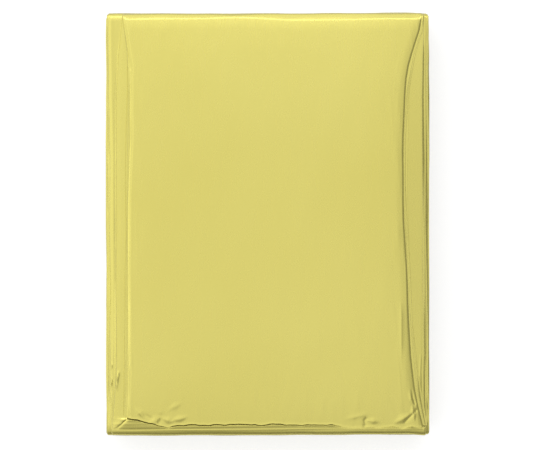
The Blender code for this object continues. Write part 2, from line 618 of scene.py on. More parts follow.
@dataclass
class FoldTree:
    """The rule of the folding, as a tree of geometry nodes.

    Every fold is the same move: a strip is laid back and forth in panels of one length, each
    a pitch above the last. It is made three times: in half, into pleats and into layers. The
    plies of a layer are drawn together by the slack, but for those near its top and underside,
    and the steepness is how few those are.
    """

    name: str = "Fold the sheet"
    steepness: float = 8.0

    def back_and_forth(self) -> bpy.types.NodeTree:
        """Builds the group that lays one strip back and forth.

        Returns:
            A group that takes a place along the strip and a height above its middle, and
            gives the place across the panels and the height above the lowest one.
        """
        tree = bpy.data.node_groups.new("Back and forth", "GeometryNodeTree")
        for name in ("Path", "Height", "Panel", "Panels", "Pitch"):
            tree.interface.new_socket(name, in_out="INPUT", socket_type="NodeSocketFloat")
        for name in ("Place", "Height"):
            tree.interface.new_socket(name, in_out="OUTPUT", socket_type="NodeSocketFloat")
        graph = Graph(tree)
        given = graph.add("NodeGroupInput")
        path, height, panel, panels, pitch = (graph.number(given, n) for n in range(5))
        step = (path / panel).floor().within(0.0, panels - 1.0)
        radius = pitch * 0.5
        quarter = radius * (math.pi / 2)
        reach = panel * 0.5 - quarter
        first, last = step < 0.5, step > panels - 1.5
        along = path - (step + 0.5) * panel
        flat = along.within(-reach - first * quarter, reach + last * quarter)
        angle = (along - flat) / radius
        way = 1.0 - step.odd() * 2.0
        place = way * (flat + radius * angle.sin()) - height * abs(angle.sin())
        rise = radius * (1.0 - angle.cos()) * angle.sign()
        level = (step + 0.5) * pitch + rise + way * height * angle.cos()
        graph.add("NodeGroupOutput", None, {"Place": place, "Height": level})
        return tree

    def build(self, material: bpy.types.Material) -> bpy.types.NodeTree:
        """Builds the whole tree.

        Args:
            material: The finish that the folded sheet leaves with.

        Returns:
            A tree that folds a flat sheet lying on the XY plane from the origin.
        """
        fold = self.back_and_forth()
        tree = bpy.data.node_groups.new(self.name, "GeometryNodeTree")
        tree.interface.new_socket("Sheet", in_out="INPUT", socket_type="NodeSocketGeometry")
        for name in ("Sheet Length", "Pleat Width", "Pleats", "Ply Pitch"):
            tree.interface.new_socket(name, in_out="INPUT", socket_type="NodeSocketFloat")
        for name in ("Layer Length", "Layers", "Layer Pitch", "Slack"):
            tree.interface.new_socket(name, in_out="INPUT", socket_type="NodeSocketFloat")
        tree.interface.new_socket("Block", in_out="OUTPUT", socket_type="NodeSocketGeometry")
        graph = Graph(tree)
        given = graph.add("NodeGroupInput")
        length, pleat, pleats, ply = (graph.number(given, n) for n in range(1, 5))
        layer, layers, pitch, slack = (graph.number(given, n) for n in range(5, 9))
        position = graph.add("GeometryNodeInputPosition").outputs[0]
        flat = graph.add("ShaderNodeSeparateXYZ", None, {0: position})

        def laid(
            path: Number,
            height: "Number | float",
            panel: Number,
            count: "Number | float",
            rise: Number,
        ) -> tuple[Number, Number]:
            """One back and forth fold.

            Args:
                path: The place along the strip.
                height: The height above the strip's middle.
                panel: The length of a panel.
                count: How many panels there are.
                rise: How far each panel lies above the last.

            Returns:
                The place across the panels, and the height above the lowest one.
            """
            node = graph.add(
                "GeometryNodeGroup",
                {"node_tree": fold},
                {"Path": path, "Height": height, "Panel": panel, "Panels": count, "Pitch": rise},
            )
            return graph.number(node, "Place"), graph.number(node, "Height")

        half, doubled = laid(graph.number(flat, "X"), 0.0, length * 0.5, 2.0, ply)
        across, stacked = laid(half + length * 0.25, doubled - ply, pleat, pleats, ply * 2.0)
        share = stacked / (pleats * ply) - 1.0
        spread = share * (1.0 - slack + slack * abs(share) ** self.steepness)
        along, up = laid(graph.number(flat, "Y"), spread * pleats * ply, layer, layers, pitch)
        place = graph.add("ShaderNodeCombineXYZ", None, {"X": -across, "Y": along, "Z": up})
        moved = graph.add(
            "GeometryNodeSetPosition",
            None,
            {"Geometry": given.outputs[0], "Position": place.outputs[0]},
        )
        real = graph.add("GeometryNodeRealizeInstances", None, {0: moved.outputs[0]})
        dressed = graph.add(
            "GeometryNodeSetMaterial", None, {"Geometry": real.outputs[0], "Material": material}
        )
        graph.add("NodeGroupOutput", None, {"Block": dressed.outputs[0]})
        return tree


@dataclass(frozen=True)
class CutSheet:
    """The sheet as it is cut, and the pleats and layers that it is folded into.

    The lines are where the grid lies on a panel, as shares of its flat stretch: the pleats'
    across each ply, and along each layer those of the lower layers, of the upper ones, which
    are counted in uppers, and of the top one. Its free end has end_cuts more across it.
    """

    cut_length: float = 2.130
    cut_width: float = 1.370
    pleats: int = 12
    layers: int = 12
    ply_pitch: float = 0.05 * MM
    layer_pitch: float = 1.39 * MM
    slack: float = 0.18
    pleat_lines: tuple[float, ...] = (0.0, 0.055, 0.5, 0.945, 1.0)
    layer_lines: tuple[float, ...] = (0.0, 0.04, 0.3, 0.7, 0.96, 1.0)
    upper_lines: tuple[float, ...] = (
        *(0.0, 0.03, 0.09, 0.14, 0.19, 0.34),
        *(0.5, 0.66, 0.81, 0.91, 0.97, 1.0),
    )
    end_lines: tuple[float, ...] = (
        *(0.0, 0.03, 0.09, 0.18, 0.29, 0.41, 0.53),
        *(0.65, 0.76, 0.86, 0.93, 0.97, 1.0),
    )
    uppers: int = 3
    end_share: float = 0.08
    end_cuts: int = 7

    @property
    def pleat_width(self) -> float:
        """The width of one ply of the band."""
        return self.cut_length / (2 * self.pleats)

    @property
    def layer_length(self) -> float:
        """The length of one layer of the block."""
        return self.cut_width / self.layers

    @property
    def pleat_round(self) -> float:
        """Half the length of film in the fold between two pleats."""
        return self.ply_pitch * math.pi / 2

    @property
    def layer_round(self) -> float:
        """Half the length of film in the fold between two layers."""
        return self.layer_pitch * math.pi / 4

    def stations(
        self, panel: float, rounds: list[float], lines: list[tuple[float, ...]], round_cuts: int
    ) -> np.ndarray:
        """Where the sheet's grid lines lie along one side of it.

        Args:
            panel: The length of sheet from one fold to the next.
            rounds: Half the length of sheet in each fold, with nought at the two free edges.
            lines: The grid lines of each panel, as shares of its flat stretch.
            round_cuts: How many grid squares go round a fold.

        Returns:
            The places of all the grid lines, in order.
        """
        places = []
        for number, shares in enumerate(lines):
            low = number * panel + rounds[number]
            high = (number + 1) * panel - rounds[number + 1]
            if number:
                turn = np.linspace(-rounds[number], rounds[number], round_cuts + 1)[1:-1]
                places.extend(number * panel + turn)
            places.extend(low + (high - low) * np.array(shares))
        return np.array(places)

    def columns(self) -> np.ndarray:
        """The grid lines along the sheet's length.

        Returns:
            Their places, in order.
        """
        plies = 2 * self.pleats
        rounds = [0.0] + [self.pleat_round] * (plies - 1) + [0.0]
        rounds[self.pleats] = self.pleat_round / 2
        return self.stations(self.pleat_width, rounds, [self.pleat_lines] * plies, 2)

    def rows(self) -> np.ndarray:
        """The grid lines along the sheet's width.

        Returns:
            Their places, in order.
        """
        rounds = [0.0] + [self.layer_round] * (self.layers - 1) + [0.0]
        lines = [self.layer_lines] * (self.layers - 1 - self.uppers)
        lines += [self.upper_lines] * self.uppers + [self.end_lines]
        return self.stations(self.layer_length, rounds, lines, 6)

    def flat_mesh(self) -> bpy.types.Mesh:
        """Cuts the sheet, flat on the XY plane from the origin, with its grid lines.

        Returns:
            Its mesh, whose points keep their place on the flat sheet in an attribute named cut.
        """
        columns, rows = self.columns(), self.rows()
        grid = bmesh.new()
        bmesh.ops.create_grid(grid, x_segments=len(columns) - 1, y_segments=len(rows) - 1, size=1)
        for vert in grid.verts:
            column = round((vert.co.x + 1) / 2 * (len(columns) - 1))
            row = round((vert.co.y + 1) / 2 * (len(rows) - 1))
            vert.co = (columns[column], rows[row], 0.0)
        free_end = self.cut_width - self.layer_length * self.end_share
        shortest = 4 * self.pleat_round
        edges = [
            edge
            for edge in grid.edges
            if min(vert.co.y for vert in edge.verts) > free_end
            and max(vert.co.x for vert in edge.verts) > self.pleat_width
            and abs(edge.verts[0].co.x - edge.verts[1].co.x) > shortest
        ]
        bmesh.ops.subdivide_edges(grid, edges=edges, cuts=self.end_cuts, use_grid_fill=True)
        mesh = bpy.data.meshes.new("flat sheet")
        grid.to_mesh(mesh)
        grid.free()
        cut = mesh.attributes.new("cut", "FLOAT_VECTOR", "POINT")
        cut.data.foreach_set("vector", points_of(mesh).astype(np.float32).ravel())
        return mesh

    def fold(self, flat: bpy.types.Mesh, material: bpy.types.Material) -> bpy.types.Mesh:
        """Folds the flat sheet with the tree of geometry nodes.

        Args:
            flat: The cut sheet.
            material: The finish that it leaves with.

        Returns:
            A plain mesh, with its points in the flat sheet's order.
        """
        work = bpy.data.objects.new("sheet being folded", flat)
        bpy.context.scene.collection.objects.link(work)
        tree = FoldTree().build(material)
        modifier = work.modifiers.new("Fold", "NODES")
        modifier.node_group = tree
        sizes = {
            "Sheet Length": self.cut_length,
            "Pleat Width": self.pleat_width,
            "Pleats": float(self.pleats),
            "Ply Pitch": self.ply_pitch,
            "Layer Length": self.layer_length,
            "Layers": float(self.layers),
            "Layer Pitch": self.layer_pitch,
            "Slack": self.slack,
        }
        for socket in tree.interface.items_tree:
            if socket.name in sizes:
                modifier[socket.identifier] = sizes[socket.name]
        return evaluated_mesh(work)


def edge_inset(edge: tuple[EdgePoint, ...], place: np.ndarray) -> np.ndarray:
    """How far in an edge lies at each of some places along it, in metres."""
    return np.interp(place, [point.place * MM for point in edge], [point.inset * MM for point in edge])


@dataclass(frozen=True)
class PressedBlock:
    """How the folded sheet has settled: its insets, its wandering folds and its crown.

    Each wander is how far a fold, an edge or a layer strays, and the wave of the same name is
    the longest wave of it, in metres. The ends of the plies under the top one lie an overhang
    behind it and fan out, and those with their silver face up lie a small step behind the ply
    above. The lower of the two cut edges at the right side is drawn in by the cut step. The
    crown's powers are how flat it is across and along the block, and how soon it fades going
    down. The film is as thick as the last field says.
    """

    sheet: CutSheet
    pleat_wander: float = 0.14 * MM
    pleat_wave: float = 0.085
    turn_wander: float = 0.16 * MM
    turn_wave: float = 0.07
    ease_share: float = 0.13
    free_start: float = 0.7 * MM
    end_fan: float = 0.25 * MM
    under_step: float = 0.12 * MM
    edge_wander: float = 0.12 * MM
    edge_wave: float = 0.012
    cut_step: float = 0.5 * MM
    overhang: float = 0.55 * MM
    crown: float = 1.15 * MM
    crown_powers: tuple[float, float, float] = (8, 5, 1.5)
    layer_wander: float = 0.07 * MM
    layer_wave: float = 0.06
    film: float = 0.016 * MM

    def along_layers(self, width: np.ndarray, front: list[float], back: list[float]) -> np.ndarray:
        """A value that each layer has at its front and back ends, along the whole band.

        Args:
            width: The place of each point along the sheet's width.
            front: The value at each layer's front end.
            back: The value at each layer's back end.

        Returns:
            The value at each point, eased from layer to layer round the folds.
        """
        share = self.ease_share
        ease = share * self.sheet.layer_length
        places, values = [0.0], [front[0]]
        for number in range(self.sheet.layers):
            first, last = (front, back) if number % 2 == 0 else (back, front)
            low = number * self.sheet.layer_length
            places += [low + ease, low + self.sheet.layer_length - ease]
            values.append(first[number] + (last[number] - first[number]) * share)
            values.append(last[number] + (first[number] - last[number]) * share)
        places.append(self.sheet.cut_width)
        values.append(front[-1])
        return np.interp(width, places, values)

    def side_inset(self, margin: Margin, fold: int, width: np.ndarray) -> np.ndarray:
        """The inset of one pleat's fold along one side of the block.

        Args:
            margin: Which side of the block.
            fold: The number of the fold, from the cut edges of the doubled sheet.
            width: The places along the sheet's width.

        Returns:
            The inset at each place.
        """
        share = (self.sheet.pleats - 1 - fold) / (self.sheet.pleats - 1)
        front, back = [], []
        for number, layer in enumerate(LAYERS):
            spread = layer.spread * (share if number % 2 == 0 else 1 - share)
            at_front, at_back = layer.insets(margin)
            front.append((at_front - spread) * MM)
            back.append((at_back - spread) * MM)
        inset = self.along_layers(width, front, back)
        if margin is Margin.RIGHT:
            last = self.sheet.cut_width - self.sheet.layer_length
            swing = edge_inset(RIGHT_EDGE, last + self.sheet.layer_length / 2 - width)
            inset += np.where(width > last, swing - LAYERS[-1].right_back * MM, 0.0)
        drift = Drift(margin.value + fold, self.pleat_wave)
        return np.maximum(inset + drift.line(width) * self.pleat_wander, 0.0)

    def across(self, cut: np.ndarray, x: np.ndarray) -> np.ndarray:
        """The settled places of points across the block.

        Args:
            cut: The points' places on the flat sheet.
            x: Their places by the folding rule.

        Returns:
            Their places between the folds of their own pleats.
        """
        sheet = self.sheet
        length, width = cut[:, 0], cut[:, 1]
        doubled = np.minimum(length, sheet.cut_length - length)
        pleat = np.clip(doubled // sheet.pleat_width, 0, sheet.pleats - 1).astype(int)
        left, right = np.zeros(len(x)), np.zeros(len(x))
        for number in range(sheet.pleats):
            here = pleat == number
            left_fold, right_fold = (number, number - 1) if number % 2 == 0 else (number - 1, number)
            left[here] = self.side_inset(Margin.LEFT, left_fold, width[here])
            right[here] = self.side_inset(Margin.RIGHT, right_fold, width[here])
        # The first half's cut edge is the lower one in even layers, the second half's in odd ones.
        halves = (length < sheet.cut_length / 2, length > sheet.cut_length / 2)
        for half, in_half in enumerate(halves):
            step = [self.cut_step * ((number + half) % 2 == 0) for number in range(sheet.layers)]
            edge = in_half & (pleat == 0)
            right[edge] += self.along_layers(width[edge], step, step)
        share = x / sheet.pleat_width + 0.5
        return -sheet.pleat_width / 2 + left + share * (sheet.pleat_width - left - right)

    def along(self, cut: np.ndarray, x: np.ndarray, y: np.ndarray) -> np.ndarray:
        """The settled places of points along the block.

        Args:
            cut: The points' places on the flat sheet.
            x: Their settled places across the block.
            y: Their places along it by the folding rule.

        Returns:
            Their places between the folds of their own layer.
        """
        sheet = self.sheet
        last = sheet.layers - 1
        layer = np.clip(cut[:, 1] // sheet.layer_length, 0, last).astype(int)
        front, back = np.full(len(x), self.free_start), np.zeros(len(x))
        for number in range(last):
            here = (layer == number) | (layer == number + 1)
            wave = self.turn_wander * Drift(700 + number, self.turn_wave).line(x[here])
            inset = np.maximum(LAYERS[number].turn * MM + wave, 0.0)
            (back if number % 2 == 0 else front)[here] = inset
        free = layer == last
        # By the folding rule a fold lies this far short of its panel's end, and a free end doesn't.
        lag = (math.pi / 2 - 1) * sheet.layer_pitch / 2
        front[free] = lag + self.free_edge(cut[free, 0], x[free])
        half = sheet.layer_length / 2 - lag
        share = (y + half) / (2 * half)
        return -sheet.layer_length / 2 + front + share * (sheet.layer_length - front - back)

    def free_edge(self, length: np.ndarray, x: np.ndarray) -> np.ndarray:
        """The inset of the top layer's free end, where the top ply reaches over the others.

        Args:
            length: The points' places along the sheet's length.
            x: Their settled places across the block.

        Returns:
            The inset of each point's own ply there.
        """
        last = 2 * self.sheet.pleats - 1
        ply = np.clip(length // self.sheet.pleat_width, 0, last).astype(int)
        fan = self.overhang + self.end_fan * np.random.default_rng(5).uniform(0, 1, last + 1)
        fan[1::2] = fan[::-1][1::2] + self.under_step
        fan[0] = 0.0
        return self.edge_line(x) + fan[ply]

    def edge_line(self, x: np.ndarray) -> np.ndarray:
        """How far in the top ply's free end lies, at places across the block."""
        return edge_inset(FRONT_EDGE, x) + self.edge_wander * Drift(61, self.edge_wave, 5).line(x)

    def height(self, x: np.ndarray, y: np.ndarray, level: np.ndarray | float) -> np.ndarray:
        """The settled height of points in the block.

        Args:
            x: Their places across the block.
            y: Their places along it.
            level: Their heights by the folding rule, in layers.

        Returns:
            Their heights above the surface that the block rests on.
        """
        sheet = self.sheet
        level = np.broadcast_to(level, x.shape)
        air = np.cumsum([layer.air * MM for layer in LAYERS])
        lift = np.interp(level, np.arange(sheet.layers) + 0.5, air)
        share = np.clip(level / sheet.layers, 0, 1)
        across, along, upward = self.crown_powers
        wide = 1 - np.abs(2 * x / sheet.pleat_width) ** across
        deep = 1 - np.abs(2 * y / sheet.layer_length) ** along
        up = self.crown * np.clip(wide, 0, 1) * np.clip(deep, 0, 1) * share**upward
        wave = np.zeros(len(x))
        for number in range(1, sheet.layers):
            weight = np.clip(1 - np.abs(level - number), 0, 1)
            near = weight > 0
            wave[near] += weight[near] * Drift(40 + number, self.layer_wave).field(x[near], y[near])
        return level * sheet.layer_pitch + lift + up + wave * self.layer_wander

    def settle(self, mesh: bpy.types.Mesh) -> None:
        """Moves a folded mesh's points to where the pressed block has them.

        Args:
            mesh: The sheet as the tree of the folds leaves it.
        """
        cut = cut_of(mesh)
        x, y, z = points_of(mesh).T
        x = self.across(cut, x)
        y = self.along(cut, x, y)
        z = self.height(x, y, z / self.sheet.layer_pitch)
        z += self.film / 2 - z.min()
        move_points(mesh, np.stack([x, y, z], axis=1))


class Depth(NamedTuple):
    """How many times over the faces of a stretch of film are divided, each way on the flat sheet."""

    across: int
    along: int


class Stretch(Enum):
    """The stretches of film that show, or don't, and how finely each is divided."""

    HIDDEN = (0, Depth(0, 0))
    TOP = (1, Depth(2, 1))
    TOP_END = (2, Depth(2, 2))
    TOP_FRONT = (3, Depth(3, 2))
    TOP_TURN = (4, Depth(2, 0))
    FRONT = (5, Depth(3, 3))
    MARGIN = (6, Depth(2, 1))
    LOW_MARGIN = (7, Depth(1, 1))
    CORNER = (8, Depth(2, 2))
    CRUMPLE = (9, Depth(2, 3))
    TURN = (10, Depth(1, 0))

    @property
    def number(self) -> int:
        """The stretch's number on a face."""
        return self.value[0]

    @property
    def depth(self) -> Depth:
        """How finely the stretch is divided."""
        return self.value[1]


@dataclass(frozen=True)
class ShownFilm:
    """The film that shows on the outside, with finer faces, its shoulders and its creases.

    The parts are how many a face is cut into each time that it is divided, across the ply and
    along it. The ends are how far, as shares of a layer's length from its front, its film is
    divided in a way of its own. The stack's share is how high the top ply lies in its layer,
    of what it would without the slack.

    A shoulder is the width over which the film rises to its full height from a side, and a
    border that over which it leaves its settled place. The side cover draws the left side of
    the top ply out over those under it, up to the cover's reach in millimetres. The tuples for
    the margins are for the three layers under the top one, lowest first, and the hip is the
    rise of the uppermost of them at the front left corner. A pair for a wave is its length in
    metres and the factor that draws its pattern out, or squeezes it, one way.
    """

    block: PressedBlock
    parts: tuple[tuple[int, ...], ...] = ((12, 2, 3), (3, 3, 3))
    front_end: float = 0.04
    top_end: float = 0.07
    corner_end: float = 0.1
    crumple_end: float = 0.2
    back_end: float = 0.9
    stack_share: float = 0.95
    left_shoulder: float = 1.0 * MM
    right_shoulder: float = 2.8 * MM
    right_border: float = 0.55 * MM
    back_step: float = 0.45 * MM
    back_shoulder: float = 3.6 * MM
    top_lift: float = 0.16 * MM
    top_least: float = 0.01 * MM
    side_cover: float = 0.085 * MM
    cover_reach: float = 1.5
    margin_shoulders: tuple[float, ...] = (0.6 * MM, 0.85 * MM, 1.2 * MM)
    margin_lifts: tuple[float, ...] = (0.16 * MM, 0.13 * MM, 0.16 * MM)
    margin_falls: tuple[float, ...] = (0.0, 0.09, 0.05)
    margin_low: float = 0.05 * MM
    margin_least: float = 0.03 * MM
    margin_slope: float = 0.05
    right_flat: float = 1.25 * MM
    right_slope: float = 0.19
    front_flats: tuple[float, ...] = (0.0, 0.0, 0.6 * MM)
    front_slope: float = 0.17
    hip_slope: float = 0.20
    hip_reach: float = 4.0 * MM
    hip_fade: float = 3.5 * MM
    groove_start: float = 0.12 * MM
    groove_width: float = 0.45 * MM
    groove_share: float = 0.85
    highest: float = 0.62 * MM
    peak: float = 0.80 * MM
    border: float = 0.3 * MM
    undulation: float = 0.06 * MM
    undulation_wave: float = 0.045
    crinkle: float = 0.045 * MM
    fine_wave: tuple[float, float] = (0.011, 0.3)
    broad_wave: tuple[float, float] = (0.024, 0.45)
    streak: float = 0.035 * MM
    streak_wave: tuple[float, float] = (0.0028, 0.06)
    streak_reach: float = 4 * MM
    turn_puff: float = 0.09 * MM
    turn_wave: tuple[float, float] = (0.022, 5)
    turn_ease: float = 0.4 * MM
    curl: float = 0.09 * MM
    curl_length: float = 0.5 * MM

    def panel_of(self, cut: np.ndarray) -> tuple[np.ndarray, ...]:
        """Where points of the flat sheet lie in their own ply and layer.

        Args:
            cut: The places on the flat sheet.

        Returns:
            The number of the ply, the place along it, the number of the layer and the place
            along that, for each point.
        """
        sheet = self.block.sheet
        ply = np.clip(cut[:, 0] // sheet.pleat_width, 0, 2 * sheet.pleats - 1)
        layer = np.clip(cut[:, 1] // sheet.layer_length, 0, sheet.layers - 1)
        across = cut[:, 0] - ply * sheet.pleat_width
        along = cut[:, 1] - layer * sheet.layer_length
        return ply.astype(int), across, layer.astype(int), along

    def stretches(self, middles: np.ndarray) -> np.ndarray:
        """Says which stretch each face is in.

        Args:
            middles: The faces' middles on the flat sheet.

        Returns:
            The number of each face's stretch.
        """
        sheet = self.block.sheet
        ply, across, layer, along = self.panel_of(middles)
        outer, last = sheet.pleats - 1, sheet.layers - 1
        share = across / sheet.pleat_width
        side = (share < sheet.pleat_lines[1]) | (share > sheet.pleat_lines[-2])
        to_front = np.where(layer % 2 == 0, along, sheet.layer_length - along)
        front_share = to_front / sheet.layer_length
        low_turn = (along < sheet.layer_round) & (layer > 0)
        high_turn = (along > sheet.layer_length - sheet.layer_round) & (layer < last)
        turn = np.where(high_turn, layer, layer - 1)
        in_turn = low_turn | high_turn
        turn_shows = in_turn & (ply == np.where(turn % 2 == 0, 0, outer))
        shows = (ply == np.where(layer % 2 == 0, outer, 0)) & (layer >= last - 3) & ~in_turn
        next_down = shows & (layer == last - 1)
        left_half = (across > sheet.pleat_width / 2) == (ply % 2 == 0)

        found = np.full(len(middles), Stretch.HIDDEN.number)
        found[shows & side] = Stretch.MARGIN.number
        found[shows & side & (layer == last - 3)] = Stretch.LOW_MARGIN.number
        found[shows & side & (layer >= last - 2) & (front_share < self.corner_end)] = Stretch.CORNER.number
        found[next_down & side & (front_share < self.corner_end)] = Stretch.CRUMPLE.number
        low_left = side & left_half & (front_share < self.crumple_end) & (layer < last) & (layer > last - 3)
        found[shows & low_left] = Stretch.CRUMPLE.number
        found[next_down & ~side & (front_share < self.front_end)] = Stretch.FRONT.number
        on_top = shows & (layer == last)
        found[on_top] = Stretch.TOP.number
        at_front, at_back = front_share < self.top_end, front_share > self.back_end
        found[on_top & (at_back | at_front)] = Stretch.TOP_END.number
        found[on_top & ~side & at_front] = Stretch.TOP_FRONT.number
        found[turn_shows] = Stretch.TURN.number
        found[turn_shows & (turn >= last - 2)] = Stretch.TOP_TURN.number
        pleat_fold = np.minimum(across, sheet.pleat_width - across) < sheet.pleat_round
        found[pleat_fold] = Stretch.HIDDEN.number
        return found

    def refine(self, mesh: bpy.types.Mesh) -> None:
        """Divides the faces that show on the outside, and cuts every face into triangles.

        Both faces of the film then have the same triangles, so neither comes through the other.

        Args:
            mesh: The settled film.
        """
        work = bmesh.new()
        work.from_mesh(mesh)
        place = work.verts.layers.float_vector["cut"]
        stretch = work.faces.layers.int.new("stretch")
        middles = [sum((v[place] for v in f.verts), Vector()) / len(f.verts) for f in work.faces]
        for face, number in zip(work.faces, self.stretches(np.array(middles))):
            face[stretch] = int(number)
        for times in range(len(self.parts[0])):
            for way in (0, 1):
                self.divide(work, way, times)
        work.faces.layers.int.remove(work.faces.layers.int["stretch"])
        bmesh.ops.triangulate(work, faces=work.faces[:], quad_method="SHORT_EDGE", ngon_method="BEAUTY")
        work.to_mesh(mesh)
        work.free()
        mesh.update()

    def divide(self, work: bmesh.types.BMesh, way: int, times: int) -> None:
        """Cuts the edges that run one way, of the faces that are still to be divided.

        Args:
            work: The mesh, with each face's stretch on it.
            way: 0 for the edges that run across a ply, 1 for those that run along it.
            times: How many times over the faces have been divided that way already.
        """
        place = work.verts.layers.float_vector["cut"]
        stretch = work.faces.layers.int["stretch"]
        depth_of = {item.number: item.depth[way] for item in Stretch}
        edges = []
        for edge in work.edges:
            reach = edge.verts[1][place] - edge.verts[0][place]
            deepest = max(depth_of[face[stretch]] for face in edge.link_faces)
            if abs(reach[way]) > abs(reach[1 - way]) and deepest > times:
                edges.append(edge)
        bmesh.ops.subdivide_edges(work, edges=edges, cuts=self.parts[way][times] - 1)

    def creased(self, creases: tuple[Crease, ...], x: np.ndarray, y: np.ndarray) -> np.ndarray:
        """How far a table of creases raises or lowers points of the film.

        Args:
            creases: The table.
            x: The points' places across the block.
            y: Their places along it.

        Returns:
            The rise of each point.
        """
        rise = np.zeros(len(x))
        for crease in creases:
            run, off = from_middle(crease, x, y)
            fade = eased(2 - 2 * np.abs(run) / (crease.length * MM / 2))
            rise += crease.rise * MM * fade * np.exp(-np.abs(off) / (crease.flank * MM))
        return rise

    def puckered(self, puckers: tuple[Pucker, ...], x: np.ndarray, y: np.ndarray) -> np.ndarray:
        """How far a table of puckers raises or lowers points of the film.

        Args:
            puckers: The table.
            x: The points' places across the block.
            y: Their places along it.

        Returns:
            The rise of each point.
        """
        rise = np.zeros(len(x))
        for pucker in puckers:
            run, off = from_middle(pucker, x, y)
            run, off = run / (pucker.length * MM / 2), off / (pucker.width * MM / 2)
            rise += pucker.rise * MM * np.clip(1 - np.abs(run) - np.abs(off), 0, 1)
        return rise

    def crinkled(self, seed: int, x: np.ndarray, y: np.ndarray) -> np.ndarray:
        """Faint sharp-edged crinkles, longer along the band than across it.

        Args:
            seed: Which of the possible patterns of crinkles this is.
            x: The points' places across the block.
            y: Their places along it.

        Returns:
            How high each point lies on the crinkles, from 0 to 1.
        """
        wave, drawn = self.fine_wave
        fine = 1 - np.abs(Drift(seed, wave, 4).field(x, y * drawn))
        wave, drawn = self.broad_wave
        broad = 1 - np.abs(Drift(seed + 1, wave, 3).field(x, y * drawn))
        return 0.5 * np.clip(fine, 0, 1) ** 3 + 0.5 * np.clip(broad, 0, 1) ** 2

    def work_out(self, mesh: bpy.types.Mesh) -> None:
        """Moves the points of the film that shows outwards, to its shoulders and creases.

        Args:
            mesh: The film, settled and divided.
        """
        sheet = self.block.sheet
        cut = cut_of(mesh)
        points = points_of(mesh)
        normals = np.empty(len(points) * 3, np.float32)
        mesh.vertex_normals.foreach_get("vector", normals)
        normals = normals.reshape(-1, 3).astype(float)
        ply, _, layer, along = self.panel_of(cut)
        outer, last = sheet.pleats - 1, sheet.layers - 1
        low_end = np.where(layer == 0, 1.0, along - sheet.layer_round)
        high_end = np.where(layer == last, 1.0, sheet.layer_length - sheet.layer_round - along)
        flat = (low_end > -SLIP) & (high_end > -SLIP)
        shows = (ply == np.where(layer % 2 == 0, outer, 0)) & flat

        top = shows & (layer == last)
        points[top] = self.top_points(cut[top], points[top])
        for number in range(last - 3, last):
            margin = shows & (layer == number)
            points[margin, 2] += self.margin_rise(cut[margin], points[margin])

        odd_turn = (layer + (along > sheet.layer_length / 2)) % 2 == 1
        turn = ~flat & (ply == np.where(odd_turn, 0, outer))
        into = -np.minimum(low_end, high_end)[turn]
        wave, drawn = self.turn_wave
        drift = Drift(31, wave, 5).field(points[turn, 0], points[turn, 2] * drawn)
        puff = 0.5 + 0.5 * np.clip(drift, -1, 1)
        sides = eased(self.from_sides(cut[turn]).min(axis=0) / self.border)
        rise = self.turn_puff * puff * eased(into / self.turn_ease) * sides
        points[turn] += normals[turn] * rise[:, None]
        move_points(mesh, points)

    def from_sides(self, cut: np.ndarray) -> np.ndarray:
        """How far points lie along the film from the left and the right side of the band.

        Args:
            cut: Their places on the flat sheet.

        Returns:
            Two rows, the distances from the left side and those from the right side.
        """
        sheet = self.block.sheet
        ply, across, _, _ = self.panel_of(cut)
        low = np.where(ply == 0, across, across - sheet.pleat_round)
        high = sheet.pleat_width - sheet.pleat_round - across
        return np.where(ply % 2 == 0, np.stack([high, low]), np.stack([low, high]))

    def top_points(self, cut: np.ndarray, points: np.ndarray) -> np.ndarray:
        """The places of the points of the top ply.

        Args:
            cut: Their places on the flat sheet.
            points: Their places in the settled block.

        Returns:
            Their places with the ply's shoulders, creases and curled free end.
        """
        sheet = self.block.sheet
        _, across, _, along = self.panel_of(cut)
        x = self.block.across(cut, sheet.pleat_width / 2 - across)
        y = self.block.along(cut, x, sheet.layer_length / 2 - along)
        stack = (sheet.pleats - 0.5) * sheet.ply_pitch * self.stack_share
        level = sheet.layers - 0.5 + stack / sheet.layer_pitch
        left, right = self.from_sides(cut)
        back = along - sheet.layer_round
        shoulder = rounded(right / self.right_shoulder) * rounded(back / self.back_shoulder)
        border = np.clip(left / self.left_shoulder, 0, 1) * rounded(right / self.right_border)
        border *= eased(back / self.back_step)
        detail = self.undulation * (0.5 + 0.35 * Drift(11, self.undulation_wave, 3).field(x, y))
        detail += self.crinkle * self.crinkled(12, x, y)
        detail += self.creased(TOP_CREASES, x, y) + self.puckered(TOP_PUCKERS, x, y)
        rise = self.block.height(x, y, level) + self.top_lift * shoulder + detail - points[:, 2]
        near_end = np.clip(1 - (sheet.layer_length - along) / self.curl_length, 0, 1)
        near_end *= np.clip(left / self.left_shoulder, 0, 1)
        z = points[:, 2] + np.maximum(rise, self.top_least) * border + self.curl * near_end**2
        cover = self.side_cover * np.clip(self.cover_reach - left / MM, 0, 1)
        return np.stack([x - cover, y, z], axis=1)

